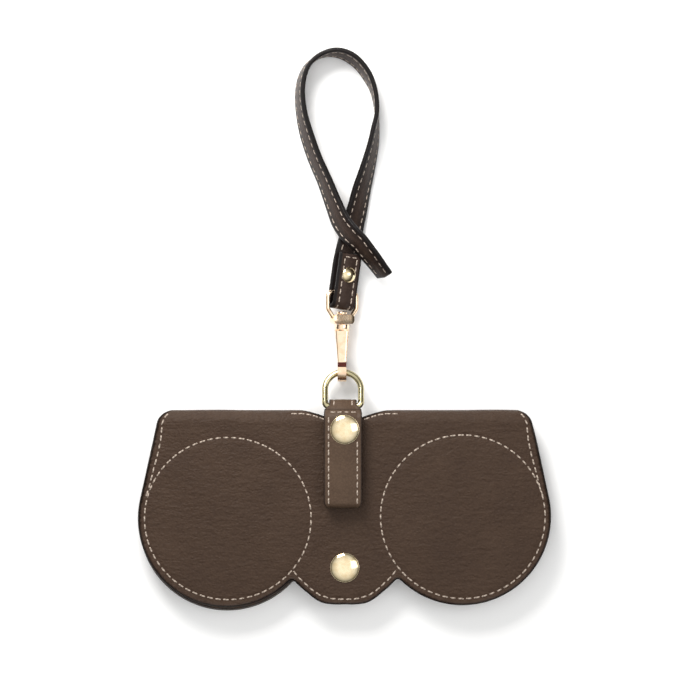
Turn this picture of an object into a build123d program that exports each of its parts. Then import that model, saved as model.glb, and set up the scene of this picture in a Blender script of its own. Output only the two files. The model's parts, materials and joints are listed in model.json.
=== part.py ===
from build123d import *
from math import cos, radians, sin
import os

# Soft folded glasses case, lying on its back cover. Millimetres.
# X runs across the case, Y from the hem to the wrist strap, Z out of the front cover.
# The origin is on the back face, halfway up the covers.

# Covers
lobe_x = 47.0  # each lobe's centre, left and right of the middle
lobe_y = -4.0
lobe_r = 35.4
scallop_y = -11.2  # centre of the tongue between the lobes
scallop_r = 27.2
fold_y = 39.2  # outermost line of the fold
fold_half = 74.2  # half the case's width at the fold
side_knee = (75.7, 28.0)  # where the straight side starts to lean out
side_lean = 13.7  # degrees from upright
corner_r = 6.0
cusp_r = 1.2
back_droop = 1.9  # the back cover's left lobe hangs this much lower
case_t = 10.0
leather_t = 1.4
lining_t = 0.6
pad_t = 1.2
pad_r = 32.9
notch_half = 17.8  # half the length of the cut in the fold
notch_depth = 3.6

# Strap, ring and snaps share one centre line; the clip hangs a little left of it
strap_x = -0.6
hook_x = -1.0

# Snap fasteners
snap_x = 0.1
upper_snap_y = 31.6
lower_snap_y = -23.6
cap_r = 5.8
cap_rim = 0.5
cap_dome = 1.8
post_r = 1.6
hole_r = 1.7
knob_r = 1.5
socket_r = 4.6
socket_bore = 2.2
flange_r = 4.2
eyelet_t = 0.6
eyelet_r = 2.55

# Ring strap and tab
strap_t = 1.3
neck_w = 10.4
tab_w = 15.0
tab_foot_y = 0.4
tab_back_z = 12.4  # underside of the tab's back layer
tab_gap = 0.8
loop_clear = 0.2
bar_y = 40.8
bar_z = 9.0
leg_end_y = 20.0
leg_bend_r = 4.0
leg_rise = 30.0  # degrees
bridge_rise = 40.0  # degrees
bridge_bend_r = 2.4
loop_tail = 1.6  # straight end of the loop beyond its arc

# D-ring
ring_wire_r = 1.25
ring_half = 7.2  # half its width, between wire centres
ring_corner_r = 1.8
ring_top_y = 54.25
ring_top_z = 4.6

# Swivel clip
claw_y = 54.85
claw_in_r = 2.3
claw_out_r = 4.3
nose_end_y = 56.4
swivel_z = 6.0
collar_y = 71.6
collar_r = 2.95
collar_t = 1.8
gate_tip_y = 58.3
gate_root_y = 70.9
gate_pin_y = 68.6
gate_pin_z = 6.2
gate_pin_r = 0.5
gate_slot = 1.35  # half the width of the channel under the gate
lug_half = 1.2
spring_y = 62.9
swivel_pin_r = 1.3
eye_base_y = 73.6
eye_base_h = 3.8
eye_base_w = 9.4
eye_base_t = 3.8
eye_bar_y = 86.4
eye_half = 6.6
eye_wire_r = 0.9
eye_turn = 31.0  # degrees that the eye and the strap are turned about the clip

# Wrist strap
band_w = 10.0
band_t = 1.8
band_gap = 2.4  # between the two layers around the eye
band_lean = 8.0  # degrees off the clip's line
band_x = -0.7
band_top = 15.75  # from the eye's bar to the front layer's end
band_foot = -4.07  # centre of the fold below the bar
rivet_at = 7.0
rivet_r = 3.1
rivet_post_r = 1.2
tail_slant = 0.27  # how far the tail's cut end leans, per unit of width

# Stitches
stitch_long = 2.4
stitch_wide = 0.6
stitch_high = 0.25
stitch_pitch = 3.4
circle_seam_r = 33.5
hem_inset = 2.4

os.makedirs("parts", exist_ok=True)

fold_r = case_t / 2
panel_top_y = fold_y - fold_r
front_leather_z = case_t - leather_t
front_lining_z = front_leather_z - lining_t
lining_top_z = leather_t + lining_t
pad_z = front_leather_z - pad_t
tab_front_z = tab_back_z + strap_t + tab_gap
tab_face_z = tab_front_z + strap_t
up = (0, 0, 1)
CENTRED = (Align.CENTER, Align.CENTER, Align.MIN)


def save(piece, name):
    """Labels a finished piece and writes it to its own file."""
    piece.part.label = name
    export_step(piece.part, f"parts/{name}.step")
    print(name, round(piece.part.volume, 1), "mm3")


# ---------------------------------------------------------------- covers


def case_outline(droop=0.0):
    """A cover seen from the front, with the left lobe lowered by droop."""
    lean = radians(side_lean)
    hip = (lobe_x + lobe_r * cos(lean), lobe_y + lobe_r * sin(lean))
    right = [(fold_half, fold_y), side_knee, hip, (lobe_x, lobe_y)]
    left = [(-x, y) for x, y in reversed(right)]
    with BuildSketch() as outline:
        with Locations((lobe_x, lobe_y), (-lobe_x, lobe_y - droop)):
            Circle(lobe_r)
        with Locations((0, scallop_y)):
            Circle(scallop_r)
        with BuildLine():
            Polyline(*right, *left, close=True)
        make_face()
        corners = outline.vertices().group_by(Axis.Y)[-1]
        fillet(corners, radius=corner_r)
        cusps = outline.vertices().filter_by_position(Axis.X, -24, 24)
        fillet(cusps.filter_by_position(Axis.Y, -34, -24), radius=cusp_r)
    return outline.sketch


def panel_outline(droop=0.0):
    """The flat part of a cover, below the fold."""
    with BuildSketch() as panel:
        add(case_outline(droop))
        with Locations((0, panel_top_y)):
            Rectangle(200, 100, align=(Align.CENTER, Align.MAX), mode=Mode.INTERSECT)
    return panel.sketch


def fold_outline():
    """The fold seen from the front, with the arc-shaped cut that the strap comes out of."""
    arc_r = (notch_half**2 + notch_depth**2) / (2 * notch_depth)
    with BuildSketch() as fold:
        add(case_outline())
        with Locations((0, panel_top_y)):
            Rectangle(200, 100, align=(Align.CENTER, Align.MIN), mode=Mode.INTERSECT)
        with Locations((0, fold_y - notch_depth + arc_r)):
            Circle(arc_r, mode=Mode.SUBTRACT)
    return fold.sketch


def half_ring(outer, inner):
    """Section of the fold's shell, across the case."""
    with BuildSketch(Plane.YZ) as ring:
        with Locations((panel_top_y, fold_r)):
            Circle(outer)
            Circle(inner, mode=Mode.SUBTRACT)
            Rectangle(20, 20, align=(Align.MAX, Align.CENTER), mode=Mode.SUBTRACT)
    return ring.sketch


front_panel = panel_outline()
back_panel = panel_outline(back_droop)
fold_face = fold_outline()

with BuildPart() as back_leather:
    with BuildSketch():
        add(back_panel)
    extrude(amount=leather_t)
    with Locations((snap_x, lower_snap_y, 0)):
        Cylinder(hole_r, leather_t, align=CENTRED, mode=Mode.SUBTRACT)
        Cylinder(flange_r + 0.05, 0.5, align=CENTRED, mode=Mode.SUBTRACT)
save(back_leather, "back_leather")

with BuildPart() as back_lining:
    with BuildSketch(Plane.XY.offset(leather_t)):
        add(back_panel)
    extrude(amount=lining_t)
    with Locations((snap_x, lower_snap_y, leather_t)):
        Cylinder(hole_r, lining_t, align=CENTRED, mode=Mode.SUBTRACT)
save(back_lining, "back_lining")

with BuildPart() as front_leather:
    with BuildSketch(Plane.XY.offset(front_leather_z)):
        add(front_panel)
    extrude(amount=leather_t)
    for y in (lower_snap_y, upper_snap_y):
        with Locations((snap_x, y, front_leather_z)):
            Cylinder(hole_r, leather_t, align=CENTRED, mode=Mode.SUBTRACT)
save(front_leather, "front_leather")

# The front lining is cupped over a round foam pad behind each lobe
with BuildPart() as front_lining:
    with BuildSketch(Plane.XY.offset(front_lining_z)):
        add(front_panel)
    extrude(amount=lining_t)
    with BuildSketch(Plane.XY.offset(pad_z - lining_t)):
        with Locations((lobe_x, lobe_y), (-lobe_x, lobe_y)):
            Circle(pad_r + lining_t)
    extrude(amount=front_leather_z - pad_z + lining_t)
    with BuildSketch(Plane.XY.offset(pad_z)):
        with Locations((lobe_x, lobe_y), (-lobe_x, lobe_y)):
            Circle(pad_r + 0.05)
    extrude(amount=pad_t, mode=Mode.SUBTRACT)
    for y in (lower_snap_y, upper_snap_y):
        with Locations((snap_x, y, front_lining_z)):
            Cylinder(hole_r, lining_t, align=CENTRED, mode=Mode.SUBTRACT)
save(front_lining, "front_lining")

for side, centre_x in (("left", -lobe_x), ("right", lobe_x)):
    with BuildPart() as lens_pad:
        with BuildSketch(Plane.XY.offset(pad_z)):
            with Locations((centre_x, lobe_y)):
                Circle(pad_r)
        extrude(amount=pad_t)
    save(lens_pad, f"{side}_lens_pad")

for name, outer, inner in (
    ("fold_leather", fold_r, fold_r - leather_t),
    ("fold_lining", fold_r - leather_t, fold_r - leather_t - lining_t),
):
    with BuildPart() as fold_shell:
        extrude(to_extrude=half_ring(outer, inner), amount=90, both=True)
        extrude(to_extrude=fold_face, amount=case_t, mode=Mode.INTERSECT)
    save(fold_shell, name)

# ---------------------------------------------------------------- snaps


def domed_cap(radius, rim, height):
    """A round cap standing on the origin: a short rim with a shallow dome on it."""
    rise = height - rim
    ball_r = (radius**2 + rise**2) / (2 * rise)
    with BuildPart() as cap:
        Cylinder(radius, height, align=CENTRED)
        with Locations((0, 0, height - ball_r)):
            Sphere(ball_r, mode=Mode.INTERSECT)
    return cap.part


socket_z = 4.9
socket_roof_z = 7.0
with BuildPart() as lower_snap_cap:
    with Locations((snap_x, lower_snap_y, case_t)):
        add(domed_cap(cap_r, cap_rim, cap_dome))
    with Locations((snap_x, lower_snap_y, socket_roof_z)):
        Cylinder(post_r, case_t - socket_roof_z, align=CENTRED)
save(lower_snap_cap, "lower_snap_cap")

with BuildPart() as lower_snap_socket:
    with Locations((snap_x, lower_snap_y, socket_z)):
        Cylinder(socket_r, front_lining_z - socket_z, align=CENTRED)
        Cylinder(socket_bore, socket_roof_z - socket_z, align=CENTRED, mode=Mode.SUBTRACT)
        Cylinder(hole_r, front_lining_z - socket_z, align=CENTRED, mode=Mode.SUBTRACT)
    fillet(lower_snap_socket.faces().sort_by(Axis.Z)[0].outer_wire().edges(), radius=0.4)
save(lower_snap_socket, "lower_snap_socket")

lower_knob_z = 6.4
with BuildPart() as lower_snap_stud:
    with Locations((snap_x, lower_snap_y, lining_top_z)):
        Cylinder(socket_r, eyelet_t, align=CENTRED)
        Cylinder(knob_r, lower_knob_z - lining_top_z, align=CENTRED)
    fillet(lower_snap_stud.faces().sort_by(Axis.Z)[-1].edges(), radius=0.5)
    with Locations((snap_x, lower_snap_y, 0.5)):
        Cylinder(post_r, lining_top_z - 0.5, align=CENTRED)
save(lower_snap_stud, "lower_snap_stud")

with BuildPart() as lower_snap_backplate:
    with Locations((snap_x, lower_snap_y, 0)):
        Cylinder(flange_r, 0.5, align=CENTRED)
save(lower_snap_backplate, "lower_snap_backplate")

upper_socket_z = 10.6
upper_roof_z = 11.9
upper_knob_z = 11.6
with BuildPart() as upper_snap_cap:
    with Locations((snap_x, upper_snap_y, tab_face_z)):
        add(domed_cap(cap_r, cap_rim, cap_dome))
    with Locations((snap_x, upper_snap_y, upper_roof_z)):
        Cylinder(post_r, tab_face_z - upper_roof_z, align=CENTRED)
save(upper_snap_cap, "upper_snap_cap")

with BuildPart() as upper_snap_socket:
    with Locations((snap_x, upper_snap_y, upper_socket_z)):
        Cylinder(socket_r, tab_back_z - upper_socket_z, align=CENTRED)
        Cylinder(socket_bore, upper_roof_z - upper_socket_z, align=CENTRED, mode=Mode.SUBTRACT)
        Cylinder(hole_r, tab_back_z - upper_socket_z, align=CENTRED, mode=Mode.SUBTRACT)
    fillet(upper_snap_socket.faces().sort_by(Axis.Z)[0].outer_wire().edges(), radius=0.4)
save(upper_snap_socket, "upper_snap_socket")

eyelet_z = front_lining_z - eyelet_t
with BuildPart() as upper_snap_stud:
    with Locations((snap_x, upper_snap_y, case_t)):
        Cylinder(flange_r, 0.35, align=CENTRED)
        Cylinder(knob_r, upper_knob_z - case_t, align=CENTRED)
    fillet(upper_snap_stud.faces().sort_by(Axis.Z)[-1].edges(), radius=0.4)
    with Locations((snap_x, upper_snap_y, eyelet_z)):
        Cylinder(post_r, case_t - eyelet_z, align=CENTRED)
save(upper_snap_stud, "upper_snap_stud")

with BuildPart() as upper_snap_eyelet:
    with Locations((snap_x, upper_snap_y, eyelet_z)):
        Cylinder(eyelet_r, eyelet_t, align=CENTRED)
        Cylinder(hole_r, eyelet_t, align=CENTRED, mode=Mode.SUBTRACT)
save(upper_snap_eyelet, "upper_snap_eyelet")

# ---------------------------------------------------------------- ring strap and tab

side_plane = Plane(origin=(strap_x, 0, 0), x_dir=(0, 1, 0), z_dir=(1, 0, 0))
loop_mid_r = ring_wire_r + loop_clear + strap_t / 2
leg_z = lining_top_z + strap_t / 2
rise = radians(leg_rise)
entry = (bar_y + loop_mid_r * sin(rise), bar_z - loop_mid_r * cos(rise))
bend_end_z = leg_z + leg_bend_r * (1 - cos(rise))
bend_end_y = entry[0] - (entry[1] - bend_end_z) * cos(rise) / sin(rise)
bend_start_y = bend_end_y - leg_bend_r * sin(rise)
climb = radians(bridge_rise)
leave = (bar_y + loop_mid_r * sin(climb), bar_z + loop_mid_r * cos(climb))
loop_end = (leave[0] - loop_tail * cos(climb), leave[1] + loop_tail * sin(climb))

with BuildPart() as ring_strap:
    with BuildSketch(side_plane):
        with BuildLine():
            Line((leg_end_y, leg_z), (bend_start_y, leg_z))
            CenterArc((bend_start_y, leg_z + leg_bend_r), leg_bend_r, -90, leg_rise)
            Line((bend_end_y, bend_end_z), entry)
            CenterArc((bar_y, bar_z), loop_mid_r, leg_rise - 90, 180 - leg_rise - bridge_rise)
            Line(leave, loop_end)
        trace(line_width=strap_t)
    extrude(amount=neck_w / 2, both=True)
save(ring_strap, "ring_strap")

# The strap's soft stretch between the loop and the tab widens from the neck to the tab
tab_mid_z = tab_face_z - strap_t / 2
crest_z = tab_mid_z - bridge_bend_r * (1 - cos(climb))
crest_y = loop_end[0] - (crest_z - loop_end[1]) * cos(climb) / sin(climb)
tab_top_y = crest_y - bridge_bend_r * sin(climb)
with BuildPart() as tab_bridge:
    with BuildSketch(side_plane):
        with BuildLine():
            Line(loop_end, (crest_y, crest_z))
            bend_mid = (tab_top_y, tab_mid_z - bridge_bend_r)
            CenterArc(bend_mid, bridge_bend_r, 90 - bridge_rise, bridge_rise)
        trace(line_width=strap_t)
    extrude(amount=tab_w / 2, both=True)
    flare = [(tab_w / 2, 30.0), (tab_w / 2, 38.3), (neck_w / 2 + 0.6, 40.4), (neck_w / 2, 42.0)]
    with BuildSketch(Plane.XY.offset(bar_z)):
        with BuildLine():
            right_side = [(strap_x + x, y) for x, y in flare]
            left_side = [(strap_x - x, y) for x, y in reversed(flare)]
            Polyline(*right_side, *left_side, close=True)
        make_face()
    extrude(amount=10, mode=Mode.INTERSECT)
save(tab_bridge, "tab_bridge")

tab_bend_r = (tab_gap + strap_t) / 2
tab_bend_y = tab_foot_y + tab_bend_r + strap_t / 2
with BuildPart() as tab_strap:
    with BuildSketch(side_plane):
        with BuildLine():
            Line((tab_top_y, tab_mid_z), (tab_bend_y, tab_mid_z))
            CenterArc((tab_bend_y, tab_mid_z - tab_bend_r), tab_bend_r, 90, 180)
            Line((tab_bend_y, tab_mid_z - 2 * tab_bend_r), (tab_top_y, tab_mid_z - 2 * tab_bend_r))
        trace(line_width=strap_t)
    extrude(amount=tab_w / 2, both=True)
    with Locations((snap_x, upper_snap_y, tab_back_z)):
        Cylinder(hole_r, tab_face_z - tab_back_z, align=CENTRED, mode=Mode.SUBTRACT)
save(tab_strap, "tab_strap")

# ---------------------------------------------------------------- D-ring

ring_run = Vector(0, ring_top_y - bar_y, ring_top_z - bar_z)
ring_plane = Plane(
    origin=(strap_x, bar_y, bar_z), x_dir=(1, 0, 0), z_dir=Vector(1, 0, 0).cross(ring_run)
)
ring_side = ring_run.length - ring_half
bar_half = ring_half - ring_corner_r
with BuildPart() as d_ring:
    with BuildLine(ring_plane) as ring_path:
        Line((-bar_half, 0), (bar_half, 0))
        CenterArc((bar_half, ring_corner_r), ring_corner_r, -90, 90)
        Line((ring_half, ring_corner_r), (ring_half, ring_side))
        CenterArc((0, ring_side), ring_half, 0, 180)
        Line((-ring_half, ring_side), (-ring_half, ring_corner_r))
        CenterArc((-bar_half, ring_corner_r), ring_corner_r, 180, 90)
    with BuildSketch(Plane(origin=ring_path.line @ 0, z_dir=ring_path.line % 0)):
        Circle(ring_wire_r)
    sweep()
save(d_ring, "d_ring")

# ---------------------------------------------------------------- swivel clip

hook_side = Plane(origin=(hook_x, 0, 0), x_dir=(0, 1, 0), z_dir=(1, 0, 0))
claw_low_z = ring_top_z - claw_out_r
claw_high_z = ring_top_z + claw_out_r
spine_outline = [
    (claw_y, claw_low_z),
    (claw_y, ring_top_z - claw_in_r),
    (60.0, 2.5),
    (64.0, 3.2),
    (67.0, 4.2),
    (collar_y, 4.4),
    (collar_y, swivel_z - collar_r + 0.1),
    (66.0, 1.6),
    (60.0, 0.6),
]
lug_outline = [(64.8, 3.2), (67.6, 7.6), (collar_y, 7.6), (collar_y, 3.6)]
gate_outline = [
    (gate_root_y, 4.9),
    (67.5, 4.9),
    (63.0, 6.9),
    (gate_tip_y, 7.1),
    (gate_tip_y, claw_high_z - 0.4),
    (gate_tip_y + 0.5, claw_high_z),
    (gate_root_y, 9.0),
]


def taper(near, far):
    """The clip seen from the front, narrowing from the collar to the claw."""
    with BuildSketch() as shape:
        with BuildLine():
            Polyline(
                (hook_x - near, 48.0),
                (hook_x + near, 48.0),
                (hook_x + near, gate_tip_y),
                (hook_x + far, collar_y),
                (hook_x - far, collar_y),
                (hook_x - near, gate_tip_y),
                close=True,
            )
        make_face()
    return shape.sketch


clip_taper = taper(1.75, 2.8)

with BuildPart() as hook_body:
    with BuildSketch(hook_side):
        with Locations((claw_y, ring_top_z)):
            Circle(claw_out_r)
            Circle(claw_in_r, mode=Mode.SUBTRACT)
            Rectangle(10, 10, align=(Align.MIN, Align.CENTER), mode=Mode.SUBTRACT)
        with Locations(((claw_y + nose_end_y) / 2, claw_high_z - 1.0)):
            Rectangle(nose_end_y - claw_y, claw_out_r - claw_in_r)
        with BuildLine():
            Polyline(*spine_outline, close=True)
        make_face()
    extrude(amount=4, both=True)
    with BuildSketch():
        add(clip_taper)
    extrude(amount=12, mode=Mode.INTERSECT)
    with BuildSketch(hook_side):
        with BuildLine():
            Polyline(*lug_outline, close=True)
        make_face()
    extrude(amount=lug_half, both=True)
    with BuildSketch(Plane.XZ.offset(-collar_y)):
        with Locations((hook_x, swivel_z)):
            Circle(collar_r)
            Circle(swivel_pin_r, mode=Mode.SUBTRACT)
    extrude(amount=-collar_t)
    with BuildSketch(hook_side):
        with Locations((gate_pin_y, gate_pin_z)):
            Circle(gate_pin_r)
    extrude(amount=4, both=True, mode=Mode.SUBTRACT)
save(hook_body, "hook_body")

with BuildPart() as hook_gate:
    with BuildSketch(hook_side):
        with BuildLine():
            Polyline(*gate_outline, close=True)
        make_face()
    extrude(amount=4, both=True)
    with BuildSketch():
        add(clip_taper)
    extrude(amount=12, mode=Mode.INTERSECT)
    with BuildSketch(hook_side):
        with Locations((61.0, 0)):
            Rectangle(20, 8.3, align=(Align.MIN, Align.MIN))
    extrude(amount=gate_slot, both=True, mode=Mode.SUBTRACT)
    with BuildSketch(hook_side):
        with Locations((gate_pin_y, gate_pin_z)):
            Circle(gate_pin_r + 0.06)
    extrude(amount=4, both=True, mode=Mode.SUBTRACT)
save(hook_gate, "hook_gate")

with BuildPart() as gate_pin:
    with BuildSketch(hook_side):
        with Locations((gate_pin_y, gate_pin_z)):
            Circle(gate_pin_r)
    extrude(amount=2.6, both=True)
save(gate_pin, "gate_pin")

spring_foot_z = 3.1
spring_head_z = 8.25
spring_wire = 0.2
with BuildPart() as gate_spring:
    with BuildLine() as coil:
        Helix(
            pitch=1.0,
            height=spring_head_z - spring_foot_z - 2 * spring_wire,
            radius=0.8,
            center=(hook_x, spring_y, spring_foot_z + spring_wire),
        )
    with BuildSketch(Plane(origin=coil.line @ 0, z_dir=coil.line % 0)):
        Circle(spring_wire)
    sweep(is_frenet=True)
save(gate_spring, "gate_spring")

head_y = eye_base_y + eye_base_h + 0.15
with BuildPart() as swivel_pin:
    with BuildSketch(Plane.XZ.offset(-collar_y)):
        with Locations((hook_x, swivel_z)):
            Circle(swivel_pin_r)
    extrude(amount=-(head_y - collar_y))
    with BuildSketch(Plane.XZ.offset(-head_y)):
        with Locations((hook_x, swivel_z)):
            Circle(2.1)
    extrude(amount=-1.0)
    fillet(swivel_pin.faces().sort_by(Axis.Y)[-1].edges(), radius=0.5)
save(swivel_pin, "swivel_pin")

turn = radians(eye_turn)
eye_across = (cos(turn), 0, -sin(turn))
eye_out = (sin(turn), 0, cos(turn))
eye_plane = Plane(origin=(hook_x, 0, swivel_z), x_dir=eye_across, z_dir=eye_out)
eye_base_mid = eye_base_y + eye_base_h / 2
with BuildPart() as swivel_eye:
    with BuildSketch(eye_plane):
        with Locations((0, eye_base_mid)):
            RectangleRounded(eye_base_w, eye_base_h, 1.5)
    extrude(amount=eye_base_t / 2, both=True)
    with BuildLine(eye_plane) as eye_path:
        FilletPolyline(
            (-3.6, eye_base_mid),
            (-eye_half, eye_base_mid + 4.2),
            (-eye_half, eye_bar_y),
            (eye_half, eye_bar_y),
            (eye_half, eye_base_mid + 4.2),
            (3.6, eye_base_mid),
            radius=2.2,
        )
    with BuildSketch(Plane(origin=eye_path.line @ 0, z_dir=eye_path.line % 0)):
        Circle(eye_wire_r)
    sweep()
    with BuildSketch(Plane.XZ.offset(-eye_base_y + 1)):
        with Locations((hook_x, swivel_z)):
            Circle(swivel_pin_r + 0.06)
    extrude(amount=-eye_base_h - 2, mode=Mode.SUBTRACT)
save(swivel_eye, "swivel_eye")

# ---------------------------------------------------------------- wrist strap

lean_off = radians(band_lean)
band_along = Vector(sin(lean_off), cos(lean_off), 0)
band_level = Vector(cos(lean_off), -sin(lean_off), 0)
band_across = band_level * cos(turn) - Vector(up) * sin(turn)
band_out = band_level * sin(turn) + Vector(up) * cos(turn)
band_origin = Vector(band_x, eye_bar_y, swivel_z)
band_side = Plane(origin=band_origin, x_dir=band_along, z_dir=band_across)
layer_mid = (band_gap + band_t) / 2
layer_face = band_gap / 2 + band_t
rivet_centre = band_origin + band_along * rivet_at

with BuildPart() as wrist_strap_foot:
    with BuildSketch(band_side):
        with BuildLine():
            Line((band_top, layer_mid), (band_foot, layer_mid))
            CenterArc((band_foot, 0), layer_mid, 90, 180)
            Line((band_foot, -layer_mid), (band_top, -layer_mid))
        trace(line_width=band_t)
    extrude(amount=band_w / 2, both=True)
    with BuildSketch(Plane(origin=rivet_centre, x_dir=band_across, z_dir=band_out)):
        Circle(rivet_post_r + 0.05)
    extrude(amount=layer_face, both=True, mode=Mode.SUBTRACT)
save(wrist_strap_foot, "wrist_strap_foot")

# The loop leaves the foot's rear layer, goes round the wrist and comes down across it as a free tail.
# Each row is x, y, z and the degrees that the band's upper edge leans into the loop.
loop_rows = [
    (2.2, 107.5, 3.9, 60),
    (3.5, 113.5, 3.7, 56),
    (5.4, 121.0, 4.1, 47),
    (6.8, 127.2, 4.5, 41),
    (9.2, 136.0, 5.0, 30),
    (11.4, 145.2, 5.2, 20),
    (12.4, 152.4, 5.3, 10),
    (12.9, 157.8, 5.3, 0),
    (12.5, 163.2, 5.3, -5),
    (11.3, 168.2, 5.3, -9),
    (9.1, 172.9, 5.3, -15),
    (6.3, 176.8, 5.3, -17),
    (3.1, 179.7, 5.3, -18),
    (-0.4, 181.5, 5.3, -15),
    (-4.0, 182.2, 5.3, -10),
    (-7.8, 181.7, 5.3, -3),
    (-11.6, 179.9, 5.3, 2),
    (-15.0, 176.6, 5.3, 8),
    (-17.0, 171.9, 5.3, 13),
    (-17.8, 166.0, 5.3, 16),
    (-17.1, 157.7, 5.3, 20),
    (-15.2, 149.7, 5.3, 26),
    (-11.9, 140.0, 5.4, 28),
    (-8.0, 131.0, 5.8, 30),
    (-4.4, 121.6, 7.4, 36),
    (-1.3, 114.2, 9.6, 43),
    (2.1, 109.6, 11.3, 47),
    (5.7, 106.2, 11.6, 43),
    (9.3, 101.8, 11.0, 38),
    (12.9, 97.2, 8.9, 32),
]
tail_end = (16.5, 92.5, 6.6, 29)


def loop_section(before, row, after, slant=0.0):
    """The plane across the band at one row, its X along the band's width."""
    along = (Vector(after[:3]) - Vector(before[:3])).normalized()
    inward = Vector(-along.Y, along.X, 0).normalized()
    width = inward * sin(radians(row[3])) + Vector(up) * cos(radians(row[3]))
    width = (width - along * width.dot(along)).normalized()
    normal = along.cross(width)
    width = width + along * slant
    return Plane(origin=row[:3], x_dir=width, z_dir=width.cross(normal)), width.length


loop_start = band_origin + band_along * band_top - band_out * layer_mid
rows = [(loop_start.X, loop_start.Y, loop_start.Z, 0), *loop_rows, tail_end]
sections = [(Plane(origin=loop_start, x_dir=-band_across, z_dir=band_along), 1.0)]
for index in range(1, len(rows) - 1):
    sections.append(loop_section(rows[index - 1], rows[index], rows[index + 1]))
beyond_tail = [2 * a - b for a, b in zip(rows[-1], rows[-2])]
sections.append(loop_section(rows[-2], rows[-1], beyond_tail, tail_slant))

with BuildPart() as wrist_strap_loop:
    for plane, stretch in sections:
        with BuildSketch(plane):
            Rectangle(band_w * stretch, band_t)
    loft(ruled=True)
save(wrist_strap_loop, "wrist_strap_loop")
run = sum((Vector(p[:3]) - Vector(q[:3])).length for p, q in zip(rows, rows[1:]))
print("loop length", round(run, 1))

rivet_face = Plane(origin=rivet_centre + band_out * layer_face, x_dir=band_across, z_dir=band_out)
with BuildPart() as strap_rivet_cap:
    with Locations(rivet_face):
        add(domed_cap(rivet_r, 0.5, 1.7))
save(strap_rivet_cap, "strap_rivet_cap")

rivet_back = Plane(origin=rivet_centre - band_out * layer_face, x_dir=band_across, z_dir=band_out)
with BuildPart() as strap_rivet_post:
    with Locations(rivet_back):
        Cylinder(rivet_post_r, 2 * layer_face, align=CENTRED)
        Cylinder(rivet_r - 0.5, 0.7, align=(Align.CENTER, Align.CENTER, Align.MAX))
save(strap_rivet_post, "strap_rivet_post")

# ---------------------------------------------------------------- threads


def stitches(places):
    """Flat stitches lying on a surface, each with its length along its own X."""
    with BuildPart() as row:
        with Locations(*places):
            Box(stitch_long, stitch_wide, stitch_high, align=CENTRED)
    return row.part


def seam(path):
    """Where the stitches lie along a path in a horizontal plane."""
    count = max(2, round(path.length / stitch_pitch))
    shares = [(index + 0.5) / count for index in range(count)]
    return [Plane(origin=path @ share, x_dir=path % share, z_dir=up) for share in shares]


def beyond(places, centre, gap):
    """Keeps the stitches that are clear of a round cap."""
    return [place for place in places if (place.origin - Vector(centre)).length > gap]


def case_seams(z, droop=0.0):
    """A cover's rows: round both lobes, up both sides and along the tongue."""
    lean = radians(side_lean)
    inner_r = lobe_r - hem_inset
    places = []
    for side, drop in ((-1, droop), (1, 0.0)):
        places += seam(Edge.make_circle(circle_seam_r, Plane((side * lobe_x, lobe_y - drop, z))))
        points = [
            (lobe_x + inner_r * cos(lean) + 0.5, lobe_y - drop + inner_r * sin(lean) + 6),
            (side_knee[0] - hem_inset, side_knee[1]),
            (fold_half - hem_inset, panel_top_y),
        ]
        places += seam(Wire.make_polygon([(side * x, y, z) for x, y in points], close=False))
    tongue = Plane((0, scallop_y, z))
    places += seam(Edge.make_circle(scallop_r - hem_inset, tongue, start_angle=-130, end_angle=-50))
    return places


with BuildPart() as front_thread:
    add(stitches(case_seams(case_t)))
save(front_thread, "front_thread")

with BuildPart() as back_thread:
    add(stitches(case_seams(lining_top_z, back_droop)))
save(back_thread, "back_thread")

tab_places = []
for side in (-1, 1):
    x = strap_x + side * (tab_w / 2 - 2.0)
    tab_places += seam(Edge.make_line((x, tab_foot_y + 3, tab_face_z), (x, tab_top_y - 0.5, tab_face_z)))
with BuildPart() as tab_thread:
    add(stitches(beyond(tab_places, (snap_x, upper_snap_y, tab_face_z), cap_r + 1.6)))
save(tab_thread, "tab_thread")

stitch_lift = 0.1
row_offset = band_w / 2 - 2.0
foot_face = band_origin + band_out * (layer_face + stitch_lift)
foot_places = []
for offset in (-row_offset, row_offset):
    count = round((band_top - band_foot - 2) / stitch_pitch)
    for index in range(count):
        reach = band_foot + 1.5 + (index + 0.5) * stitch_pitch
        at = foot_face + band_across * offset + band_along * reach
        foot_places.append(Plane(origin=at, x_dir=band_along, z_dir=band_out))
with BuildPart() as strap_foot_thread:
    add(stitches(beyond(foot_places, foot_face + band_along * rivet_at, rivet_r + 1.6)))
save(strap_foot_thread, "strap_foot_thread")

loop_places = []
for (plane, _), (following, _) in zip(sections[1:-1], sections[2:]):
    step = following.origin - plane.origin
    count = max(1, round(step.length / stitch_pitch))
    for index in range(count):
        share = (index + 0.5) / count
        width = (plane.x_dir * (1 - share) + following.x_dir * share).normalized()
        face = step.normalized().cross(width).normalized()
        for offset in (-row_offset, row_offset):
            at = plane.origin + step * share + width * offset + face * (band_t / 2 + stitch_lift)
            loop_places.append(Plane(origin=at, x_dir=step, z_dir=face))
with BuildPart() as strap_loop_thread:
    add(stitches(loop_places))
save(strap_loop_thread, "strap_loop_thread")
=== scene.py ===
import json
import math

import bpy
import numpy as np
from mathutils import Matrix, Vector, geometry


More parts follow.
